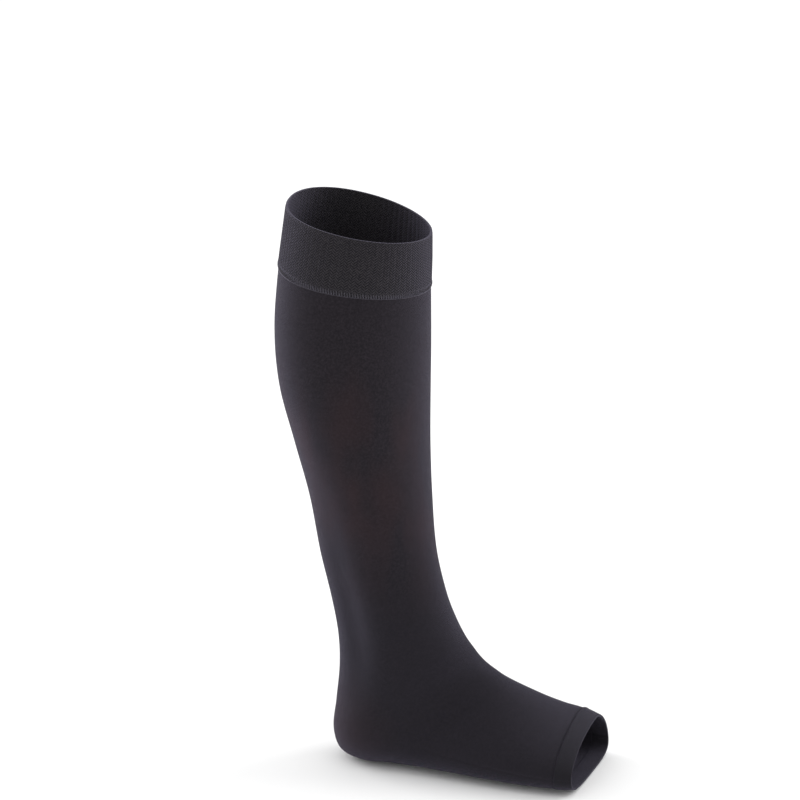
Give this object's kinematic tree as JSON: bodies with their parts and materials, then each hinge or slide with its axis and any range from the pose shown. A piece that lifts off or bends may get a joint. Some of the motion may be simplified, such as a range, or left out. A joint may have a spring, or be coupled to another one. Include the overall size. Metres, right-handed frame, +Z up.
{
  "type": "open-toe knee-high compression stocking",
  "caption": "Seamless knitted compression stocking for the lower leg, hollow and in its worn shape, with a broad elastic top band, a shaped heel and a doubled hem round the open toe.",
  "frame": {"origin": "middle of the top band's hollow, halfway up the band, where the calf holds the stocking up", "axes": "+X towards the toes, +Y towards the inner (big-toe) side of the right leg, +Z up the leg"},
  "size_m": [0.239, 0.1104, 0.4251],
  "materials": {
    "band_knit": "matte elastic relief knit, charcoal black",
    "leg_knit": "fine smooth knit with a soft sheen at its edges, charcoal black",
    "hem_knit": "doubled fine knit, charcoal black"
  },
  "bodies": {
    "root": {"top_band": "band_knit", "leg_and_foot": "leg_knit", "toe_hem": "hem_knit"}
  },
  "joints": []
}
